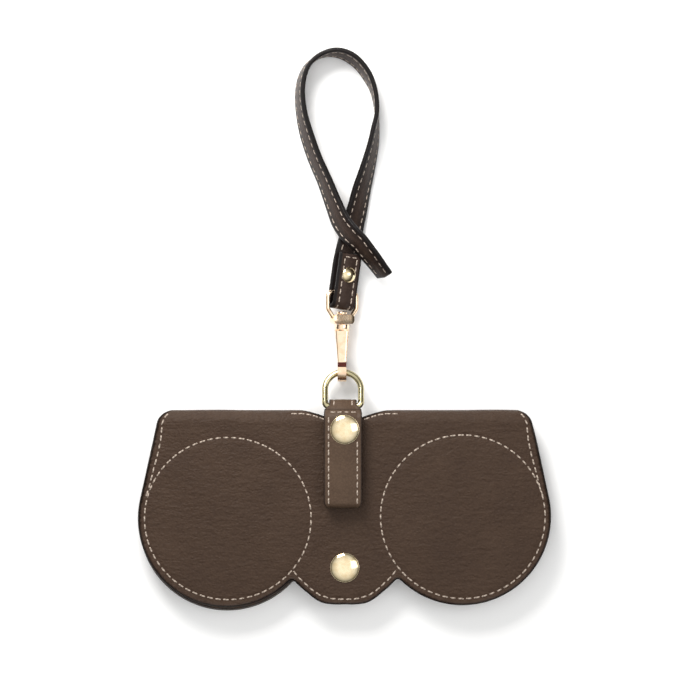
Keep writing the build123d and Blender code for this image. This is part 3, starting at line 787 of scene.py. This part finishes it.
case_places = [p for line, closed in all_rows for p in row_places(line, closed)]
front_places = [p for p in case_places if p[0][1] > 0]
back_places = [p for p in case_places if p[0][1] <= 0]
for name, node, places, sink in (
    ("case_front_stitches", "front_thread", front_places, -0.02),
    ("case_back_stitches", "back_thread", back_places, 0.22),
):
    sewn = sew(name, places, on_case, sink=sink)
    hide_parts(node)
    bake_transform(sewn)

# ---- straps


class Band:
    """A strap that follows points, with a width direction at each. s is the length along it."""

    def __init__(self, points, widths, step=0.5):
        points, widths = self.smooth(np.array(points, float), np.array(widths, float), step)
        self.points = points
        self.s = distances(points)
        along = np.gradient(points, axis=0)
        along /= np.linalg.norm(along, axis=1)[:, None]
        widths = widths - along * np.sum(widths * along, axis=1)[:, None]
        self.across = widths / np.linalg.norm(widths, axis=1)[:, None]
        self.along = along
        self.face = np.cross(along, self.across)

    @staticmethod
    def smooth(points, widths, step):
        """A curve through the points, and the widths carried along with it."""
        n = len(points)
        both = np.hstack([points, widths])
        padded = np.vstack([2 * both[0] - both[1], both, 2 * both[-1] - both[-2]])
        out = []
        for k in range(n - 1):
            p0, p1, p2, p3 = padded[k:k + 4]
            pieces = max(1, int(np.linalg.norm(p2[:3] - p1[:3]) / step))
            t0 = np.linalg.norm((p1 - p0)[:3]) ** 0.5
            t1 = np.linalg.norm((p2 - p1)[:3]) ** 0.5
            t2 = np.linalg.norm((p3 - p2)[:3]) ** 0.5
            m1 = ((p2 - p1) / t1 - (p2 - p0) / (t0 + t1) + (p1 - p0) / t0) * t1
            m2 = ((p3 - p2) / t2 - (p3 - p1) / (t1 + t2) + (p2 - p1) / t1) * t1
            for u in np.arange(pieces) / pieces:
                a = 2 * u**3 - 3 * u**2 + 1
                b = u**3 - 2 * u**2 + u
                c = -2 * u**3 + 3 * u**2
                d = u**3 - u**2
                out.append(a * p1 + b * m1 + c * p2 + d * m2)
        out.append(both[-1])
        out = np.array(out)
        return out[:, :3], out[:, 3:]

    def at(self, s, a, b):
        """The point a to the side and b out of the face, s along the strap."""
        s, a, b = (np.asarray(q, float).ravel() for q in np.broadcast_arrays(s, a, b))

        def pick(rows):
            return np.column_stack([np.interp(s, self.s, rows[:, k]) for k in range(3)])

        return pick(self.points) + pick(self.across) * a[:, None] + pick(self.face) * b[:, None]


def strap_profile(width, thick, inset):
    """A strap's section: rounded corners, and on its face a groove inset from each edge."""
    w, t = width / 2, thick / 2
    r = 0.3 * thick
    side = [(-w, -t + r), (-w, t - r), (-w + 0.3 * r, t - 0.3 * r), (-w + r, t)]
    side += [(-w + 0.5 * (r + inset - 0.5), t), (-w + inset - 0.5, t)]
    side += [(-w + inset, t - 0.16), (-w + inset + 0.5, t)]
    top = side + [(0.0, t + 0.05)] + [(-a, b) for a, b in reversed(side)]
    low = [(w - 0.3 * r, -t + 0.3 * r), (w - r, -t), (0.0, -t), (-w + r, -t), (-w + 0.3 * r, -t + 0.3 * r)]
    return top + low


def strap_mesh(name, band, width_at, thick, inset, material, body, slant=0.0, dark_edge=0.5):
    """A strap along a band, with rounded ends. width_at(s) is its width, inset(s) how far in it is sewn.

    slant cuts its far end at an angle, and dark_edge is how far its edge paint reaches.
    """
    length = band.s[-1]
    end = 0.3 * thick
    middle = np.arange(1.2, length - 1.2, 0.6)
    stations = np.r_[0.0, 0.3 * end, end, middle, length - end, length - 0.3 * end, length]
    shrink = np.zeros(len(stations))
    shrink[0] = shrink[-1] = end
    shrink[1] = shrink[-2] = 0.3 * end
    points, flat, rim = [], [], []
    for s, small in zip(stations, shrink):
        width = width_at(s)
        profile = np.array(strap_profile(width, thick, inset(s)))
        profile[:, 1] *= 1 - small / (thick / 2)
        lean = slant * profile[:, 0] if slant and s > length - 8 else 0.0
        share = max(0.0, (s - length + 8) / 8)
        points.append(band.at(s + np.minimum(lean * share, 0), profile[:, 0], profile[:, 1]))
        flat.append(np.column_stack([np.full(len(profile), s), profile[:, 0], profile[:, 1]]))
        dark = np.clip((np.abs(profile[:, 0]) - (width / 2 - dark_edge)) / (0.45 * dark_edge), 0, 1)
        dark = np.maximum(dark, float(s < 0.7 * end or s > length - 0.7 * end))
        rim.append(dark)
    faces = tube(len(points[0]), len(points))
    return make(name, np.vstack(points), faces, material, body, np.vstack(flat), np.concatenate(rim))


def strap_rows(width_at, inset, start, end, pitch=3.1):
    """Stitches along both edges of a strap."""
    places = []
    count = int(round((end - start) / pitch))
    for side in (-1, 1):
        for k in range(count):
            s = start + (end - start) * (k + 0.5) / count
            places.append((np.array([s, side * (width_at(s) / 2 - inset(s))]), np.array([1.0, 0.0])))
    return places


def steady(value):
    """A measure that is the same all along a strap."""
    return lambda s: value


# The strap in the middle: from inside the back cover, round the ring's bar and over the front
strap_t = 1.3
tab_inset = steady(1.9)
strap_x = mid("tab_strap")[0]
neck_w = hi("ring_strap")[0] - lo("ring_strap")[0]
tab_w = hi("tab_strap")[0] - lo("tab_strap")[0]
bar = joint_at["ring_swing"]
loop_r = hi("ring_strap")[1] - bar[1] - strap_t / 2
leg_z = lo("ring_strap")[2] + strap_t / 2
face_z = hi("tab_strap")[2] - strap_t / 2
low_z = lo("tab_strap")[2] + strap_t / 2
fold_z = (face_z + low_z) / 2
tab_turn = (face_z - low_z) / 2
foot_y = lo("tab_strap")[1] + tab_turn + strap_t / 2
tab_top = hi("tab_strap")[1]
part_at = 13.1  # height where the ring's part of the strap hands over to the tab's part


def around_bar(degrees):
    """A point of the strap's middle where it goes round the ring's bar."""
    a = math.radians(degrees)
    return [strap_x, bar[1] + loop_r * math.cos(a), bar[2] + loop_r * math.sin(a)]


rising = [[strap_x, y, z] for y, z in ((lo("ring_strap")[1], leg_z), (25, leg_z), (30.6, leg_z + 0.02))]
rising += [[strap_x, y, z] for y, z in ((33.6, leg_z + 0.45), (36.5, leg_z + 1.75), (39.6, leg_z + 3.35))]
round_bar = [around_bar(a) for a in (-60, -35, -10, 15, 35, 50)]
over = [[strap_x, 40.9, 11.68], [strap_x, 39.15, part_at]]
crest = [[strap_x, 37.45, 14.5], [strap_x, 36.6, 15.0], [strap_x, tab_top - 0.3, face_z]]
ring_points = rising + round_bar + over
ring_band = Band(ring_points, [[1, 0, 0]] * len(ring_points))


def ring_width(s):
    """The neck, widening to the tab over its last stretch."""
    left = ring_band.s[-1] - s
    return neck_w + 0.5 + (tab_w - neck_w - 0.5) * min(1.0, max(0.0, (2.7 - left) / 2.4)) ** 1.2 * 0.95


ring_part = strap_mesh("ring_strap_leather", ring_band, ring_width, strap_t, tab_inset, strap_leather, None)
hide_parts("ring_strap", "tab_bridge")
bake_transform(ring_part)

down = [[strap_x, y, face_z] for y in (30.0, 20.0, 10.0, foot_y + 1.5)]
curl = []
for a in np.radians([90, 135, 180, 225, 270]):
    curl.append([strap_x, foot_y + tab_turn * math.cos(a), fold_z + tab_turn * math.sin(a)])
back_up = [[strap_x, y, low_z] for y in (foot_y + 1.5, 10.0, 20.0, 30.0, tab_top)]
tab_points = [[strap_x, 39.35, 12.93]] + crest + down + curl + back_up
tab_band = Band(tab_points, [[1, 0, 0]] * len(tab_points))
fold_s = tab_band.s[int(np.argmin(tab_band.points[:, 1]))]


def tab_width(s):
    """Full width, a little less where it starts and where it is folded back."""
    return tab_w + 0.2 - 0.6 * max(0.0, 1 - s / 2.0) - 1.5 * math.exp(-(((s - fold_s) / 1.4) ** 2))


tab_part = strap_mesh("tab_leather", tab_band, tab_width, strap_t, tab_inset, strap_leather, None)
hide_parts("tab_strap")
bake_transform(tab_part)

snap_s = tab_band.s[np.argmin(np.abs(tab_band.points[:60, 1] - upper_snap_y))]


def on_band(band, thick, side=1):
    """Places stitches on a strap's face, or on its back where side is -1."""

    def surface(points, height):
        return band.at(points[:, 0], points[:, 1], side * (thick / 2 - 0.12 + height))

    return surface


tab_places = strap_rows(tab_width, tab_inset, 3.2, fold_s - 1.2)
tab_places += [(np.array([1.6, a]), np.array([0.0, 1.0])) for a in (-4.0, -1.3, 1.4, 4.1)]
tab_places = [p for p in tab_places if np.hypot(p[0][0] - snap_s, p[0][1] - (snap_x - strap_x)) > 6.3]
tab_sewn = sew("tab_stitches", tab_places, on_band(tab_band, strap_t))
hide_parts("tab_thread")
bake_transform(tab_sewn)
neck_s = np.arange(ring_band.s[-1] - 8, ring_band.s[-1], 0.1)
neck_face = ring_band.at(neck_s, 0, strap_t / 2)
neck_gap = np.abs(neck_face[:, 1] - 42.1) + np.where(neck_face[:, 2] > bar[2], 0, 99)
neck_places = [(np.array([neck_s[np.argmin(neck_gap)], a]), np.array([1.0, 0.0])) for a in (-3.6, 3.6)]
neck_sewn = sew("neck_stitches", neck_places, on_band(ring_band, strap_t))
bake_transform(neck_sewn)

# The wrist strap: folded round the clip's eye, then looped
eye = joint_at["strap_swing"]
eye_axis = joint_axis["strap_swing"]
turn = math.atan2(-eye_axis.z, eye_axis.x)
lean = math.radians(8.0)
band_t = 1.8
band_w = 10.0
band_gap = 2.4
along = np.array([math.sin(lean), math.cos(lean), 0.0])
level = np.array([math.cos(lean), -math.sin(lean), 0.0])
up = np.array([0.0, 0.0, 1.0])
across = level * math.cos(turn) - up * math.sin(turn)
out = level * math.sin(turn) + up * math.cos(turn)
origin = np.array([eye[0] + 0.3, eye[1], eye[2]])
layer = (band_gap + band_t) / 2
band_top = 15.75
band_foot = -4.07
rivet_at = 7.0

front_layer = [origin + along * t + out * layer for t in (band_top, 11.0, 6.0, 1.0, band_foot + 1.0)]
fold_arc = []
for a in np.radians([90, 130, 180, 230, 270]):
    fold_arc.append(origin + along * (band_foot + layer * math.cos(a)) + out * layer * math.sin(a))
rear_layer = [origin + along * t - out * layer for t in (band_foot + 1.0, 1.0, 6.0, 11.0)]
# Each row is x, y, z and the degrees that the band's upper edge leans into the loop
loop_rows = [
    (1.0, 103.2, 4.2, 59.5),
    (2.2, 107.5, 3.9, 60),
    (3.5, 113.5, 3.7, 56),
    (5.4, 121.0, 4.1, 47),
    (6.8, 127.2, 4.5, 41),
    (9.2, 136.0, 5.0, 30),
    (11.4, 145.2, 5.2, 20),
    (12.4, 152.4, 5.3, 10),
    (12.9, 157.8, 5.3, 0),
    (12.5, 163.2, 5.3, -5),
    (11.3, 168.2, 5.3, -9),
    (9.1, 172.9, 5.3, -15),
    (6.3, 176.8, 5.3, -17),
    (3.1, 179.7, 5.3, -18),
    (-0.4, 181.5, 5.3, -15),
    (-4.0, 182.2, 5.3, -10),
    (-7.8, 181.7, 5.3, -3),
    (-11.6, 179.9, 5.3, 2),
    (-15.0, 176.6, 5.3, 8),
    (-17.0, 171.9, 5.3, 13),
    (-17.8, 166.0, 5.3, 16),
    (-17.1, 157.7, 5.3, 20),
    (-15.2, 149.7, 5.3, 26),
    (-11.9, 140.0, 5.4, 28),
    (-8.0, 131.0, 5.8, 30),
    (-4.4, 121.6, 7.4, 36),
    (-1.3, 114.2, 9.6, 43),
    (2.1, 109.6, 11.3, 47),
    (5.7, 106.2, 11.6, 43),
    (9.3, 101.8, 11.0, 38),
    (12.9, 97.2, 8.9, 32),
    (16.5, 92.5, 6.6, 29),
]
loop_points = [np.array(row[:3]) for row in loop_rows]
loop_widths = []
for k, row in enumerate(loop_rows):
    ahead = loop_points[min(k + 1, len(loop_rows) - 1)] - loop_points[max(k - 1, 0)]
    ahead /= np.linalg.norm(ahead)
    into = np.array([-ahead[1], ahead[0], 0.0])
    into /= np.linalg.norm(into)
    loop_widths.append(into * math.sin(math.radians(row[3])) + up * math.cos(math.radians(row[3])))
foot_points = front_layer + fold_arc + rear_layer
wrist_band = Band(foot_points + loop_points, [across] * len(foot_points) + [-w for w in loop_widths])
foot_s = float(wrist_band.s[int(np.argmin(wrist_band.points[:80, 1]))])
wrist_width = steady(band_w)


def wrist_inset(s):
    """The rows run a little further out once past the foot."""
    return float(np.interp(s, [foot_s + 18, foot_s + 36], [2.2, 2.0]))


wrist = strap_mesh(
    "wrist_strap_leather", wrist_band, wrist_width, band_t, wrist_inset, wrist_leather, "wrist_strap",
    slant=0.27, dark_edge=1.1,
)
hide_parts("wrist_strap_foot", "wrist_strap_loop")
wrist_places = strap_rows(wrist_width, wrist_inset, 1.9, wrist_band.s[-1] - 2.0)
wrist_places += [(np.array([1.7, a]), np.array([0.0, 1.0])) for a in (-1.4, 1.4)]
wrist_places += [(np.array([wrist_band.s[-1] - 1.8, 0.0]), np.array([0.0, 1.0]))]
outer_rows = sew("wrist_strap_stitches", wrist_places, on_band(wrist_band, band_t), body="wrist_strap")
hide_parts("strap_foot_thread", "strap_loop_thread")
inner_places = strap_rows(wrist_width, wrist_inset, foot_s + 20.0, wrist_band.s[-1] - 2.0)
inner_rows = sew(
    "wrist_strap_inner_stitches", inner_places, on_band(wrist_band, band_t, -1), body="wrist_strap"
)

# ---- metal


def cap_profile(radius, height):
    """A dome on a thin flange, from the middle outwards and down."""
    crown = radius * 0.975
    lip = height * 0.22
    dome = []
    for u in np.sin(np.linspace(0.02, math.pi / 2, 32)):
        dome.append((crown * u, lip + (height - lip) * max(0.0, 1 - u**2) ** 0.78))
    edge = radius - crown
    roll = [(crown + edge * 0.15, lip * 0.9), (crown + edge * 0.55, lip)]
    roll += [(radius - edge * 0.1, lip * 0.75), (radius, lip * 0.35), (radius - edge * 0.2, 0.0)]
    return dome + roll


cap_height = 1.8
for node, body, name in (
    ("upper_snap_cap", "tab", "tab_snap_cap"),
    ("lower_snap_cap", "front_cover", "cover_snap_cap"),
):
    low, high = lo(node), hi(node)
    x, y = (low[0] + high[0]) / 2, (low[1] + high[1]) / 2
    base = high[2] - cap_height
    profile = cap_profile((high[0] - low[0]) / 2, cap_height)
    cap = lathe(name, profile, (x, y, base - 0.15), (0, 0, 1), pale_gold, body)
    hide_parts(node)

rivet_top = origin + along * rivet_at + out * (band_gap / 2 + band_t - 0.1)
rivet_profile = cap_profile(3.1, 1.7)
rivet = lathe("strap_rivet", rivet_profile, rivet_top.tolist(), out.tolist(), pale_gold, "wrist_strap")
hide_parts("strap_rivet_cap")

hook_x = joint_at["hook_swing"][0]
gate_low, gate_high = lo("hook_gate"), hi("hook_gate")
claw_end_half = 1.75  # half the gate's width at its claw end
channel_half = 1.35  # half the width of the gate's hollow, where the spring sits
channel_z = 8.3  # the hollow's ceiling


def gate_section(y):
    """The gate's channel at one place along the clip: crowned outside, hollow below."""
    share = (y - gate_low[1]) / (gate_high[1] - gate_low[1])
    half = claw_end_half + (gate_high[0] - hook_x - claw_end_half) * share
    top = gate_high[2] - 0.02
    places = [gate_low[1], gate_low[1] + 4.6, gate_low[1] + 9.2, gate_high[1]]
    low = float(np.interp(y, places, [7.15, 6.9, 4.95, 4.95]))
    crown = 0.4 * half
    arc = []
    for a in np.radians(np.linspace(0, 180, 25)):
        side = math.copysign(abs(math.cos(a)) ** 0.55, math.cos(a))
        arc.append((half * side, top - crown + crown * math.sin(a) ** 0.7))
    ceiling = max(low + 0.1, float(np.interp(y, [gate_low[1] + 2.6, gate_low[1] + 2.8], [0.0, channel_z])))
    inner = [(-channel_half, low), (-channel_half, ceiling), (channel_half, ceiling), (channel_half, low)]
    ring = [(half, low)] + arc + [(-half, low)] + inner
    return [(hook_x + x, y, z) for x, z in ring]


def loft(name, sections, material, body):
    """A closed solid through its sections."""
    faces = tube(len(sections[0]), len(sections))
    return make(name, [p for section in sections for p in section], faces, material, body)


def round_edges(obj, width, degrees):
    """Rounds the edges that turn by more than this many degrees."""
    bevel = obj.modifiers.new("round", "BEVEL")
    bevel.width = width * MM
    bevel.segments = 3
    bevel.limit_method = "ANGLE"
    bevel.angle_limit = math.radians(degrees)
    return bevel


gate_sections = [gate_section(y) for y in np.linspace(gate_low[1], gate_high[1], 28)]
gate = loft("gate_shell", gate_sections, rose_gold, "hook_gate")
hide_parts("hook_gate")
round_edges(gate, 0.14, 40)

spring_x, spring_y, _ = mid("gate_spring")
spring_low, spring_high = lo("gate_spring")[2], hi("gate_spring")[2]
spring_wire = 0.2
coil_r = hi("gate_spring")[0] - spring_x - spring_wire
turns = 5
steps = 20  # to a turn
coil = []
for k in range(turns * steps + 1):
    a = 2 * math.pi * k / steps
    height = spring_low + spring_wire + (spring_high - spring_low - 2 * spring_wire) * k / (turns * steps)
    outward = np.array([math.cos(a), math.sin(a), 0.0])
    centre = np.array([spring_x, spring_y, height]) + coil_r * outward
    wire = []
    for b in np.radians(np.arange(0, 360, 45)):
        wire.append(centre + spring_wire * (math.cos(b) * outward + math.sin(b) * up))
    coil.append(wire)
spring = loft("spring_coil", coil, steel, "snap_hook")
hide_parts("gate_spring")
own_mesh(spring)

finishes = {"snap_brass": pale_gold, "ring_metal": ring_gold, "clip_metal": rose_gold}
finishes["spring_steel"] = steel
slot_of = {row["node"]: row["material_slot"] for row in frame["record"]["subparts"]}
rounding = {"hook_body": 0.35, "hook_gate": 0.35, "swivel_eye": 0.25, "swivel_pin": 0.15}
for name, node in frame["nodes"].items():
    finish = finishes.get(slot_of[name])
    if finish is None:
        continue
    node.data.materials.clear()
    node.data.materials.append(finish)
    node.data.polygons.foreach_set("use_smooth", [True] * len(node.data.polygons))
    if name in rounding:
        weld = node.modifiers.new("weld", "WELD")
        weld.merge_threshold = 0.01 * MM
        round_edges(node, rounding[name], 35).harden_normals = True

# ---- floor, light and camera

floor_mat, _, _, shader = new_material("pale_floor")
put(shader, Base_Color=(0.98, 0.98, 0.98, 1), Roughness=0.85)
floor_half = 3000
floor_z = -0.05
corners = [(x * floor_half, y * floor_half, floor_z) for x, y in ((-1, -1), (1, -1), (1, 1), (-1, 1))]
floor = make("floor", corners, [(0, 1, 2, 3)], floor_mat, smooth=False)

look_at = Vector((2.2, 63.2, 5.0)) * MM
camera_height = 1.4  # above that point, in metres
frame_width = 0.28  # what the picture spans there, in metres


def lamp(name, place, size, power, colour=(1, 1, 1)):
    """A soft rectangular light aimed at the object, placed in metres."""
    data = bpy.data.lights.new(name, "AREA")
    data.shape = "RECTANGLE"
    data.size, data.size_y = size
    data.energy = power
    data.color = colour
    obj = show(name, data)
    obj.location = place
    way = look_at - Vector(place)
    obj.rotation_euler = way.to_track_quat("-Z", "Y").to_euler()
    return obj


lamp("key", (-0.15, 0.42, 0.30), (0.25, 0.2), 2.9, (1.0, 0.985, 0.96))
lamp("fill", (0.8, 0.2, 1.0), (0.6, 0.8), 2.4)
front = lamp("front", (-0.2, -0.6, 1.2), (0.8, 0.4), 1.7)
front.visible_glossy = False
world = bpy.data.worlds.new("studio")
world.use_nodes = True
bpy.context.scene.world = world
tree = world.node_tree
sky = tree.nodes.new("ShaderNodeTexCoord")
split = tree.nodes.new("ShaderNodeSeparateXYZ")
tree.links.new(sky.outputs["Generated"], split.inputs[0])
shade = ramp(
    tree.nodes, tree.links, split.outputs["Z"],
    [(0.30, (0.05, 0.05, 0.045, 1)), (0.55, (0.25, 0.25, 0.24, 1)), (0.95, (0.88, 0.88, 0.88, 1))],
)
tree.links.new(shade, tree.nodes["Background"].inputs["Color"])
put(tree.nodes["Background"], Strength=1.35)

camera_data = bpy.data.cameras.new("camera")
camera_data.sensor_width = 36.0
camera_data.lens = camera_data.sensor_width * camera_height / frame_width
camera_data.clip_end = 10
camera = show("camera", camera_data)
camera.location = look_at + Vector((0, 0, camera_height))
bpy.context.scene.camera = camera
bpy.context.scene.view_settings.view_transform = "Standard"
